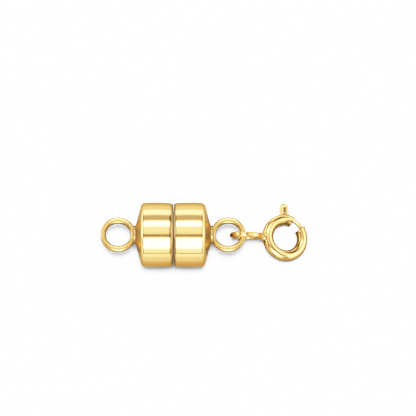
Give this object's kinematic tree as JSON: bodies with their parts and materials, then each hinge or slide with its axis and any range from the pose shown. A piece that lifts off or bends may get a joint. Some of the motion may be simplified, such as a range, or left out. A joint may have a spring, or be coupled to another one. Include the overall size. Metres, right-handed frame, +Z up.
{
  "type": "magnetic clasp",
  "caption": "Barrel-shaped magnetic clasp that parts in the middle, with wire end eyes and a small spring ring linked to an eye, for joining a necklace or bracelet.",
  "frame": {"origin": "middle of the whole clasp's length and width, on the surface on which it lies", "axes": "+X along the barrel towards the spring ring, +Z up, with both end eyes lying level"},
  "size_m": [0.0226, 0.0073, 0.007],
  "materials": {
    "gold": "gold-plated, high polish",
    "magnet": "bright nickel plating"
  },
  "bodies": {
    "left_half": {"left_cup": "gold", "left_magnet": "magnet"},
    "right_half": {"right_cup": "gold", "right_magnet": "magnet", "spring_ring": "gold"},
    "trigger": {"trigger": "gold"}
  },
  "joints": [
    {"name": "half_pull", "type": "slide", "parent": "left_half", "child": "right_half", "axis": [1, 0, 0], "range_m": [0, 0.006]},
    {"name": "bolt_draw", "type": "hinge", "parent": "right_half", "child": "trigger", "pos_m": [0.00879, 0, 0.00132], "axis": [0.3499, 0.0872, 0.9327], "range_deg": [0, 46.9], "stiffness_Nm_per_rad": 0.002}
  ]
}
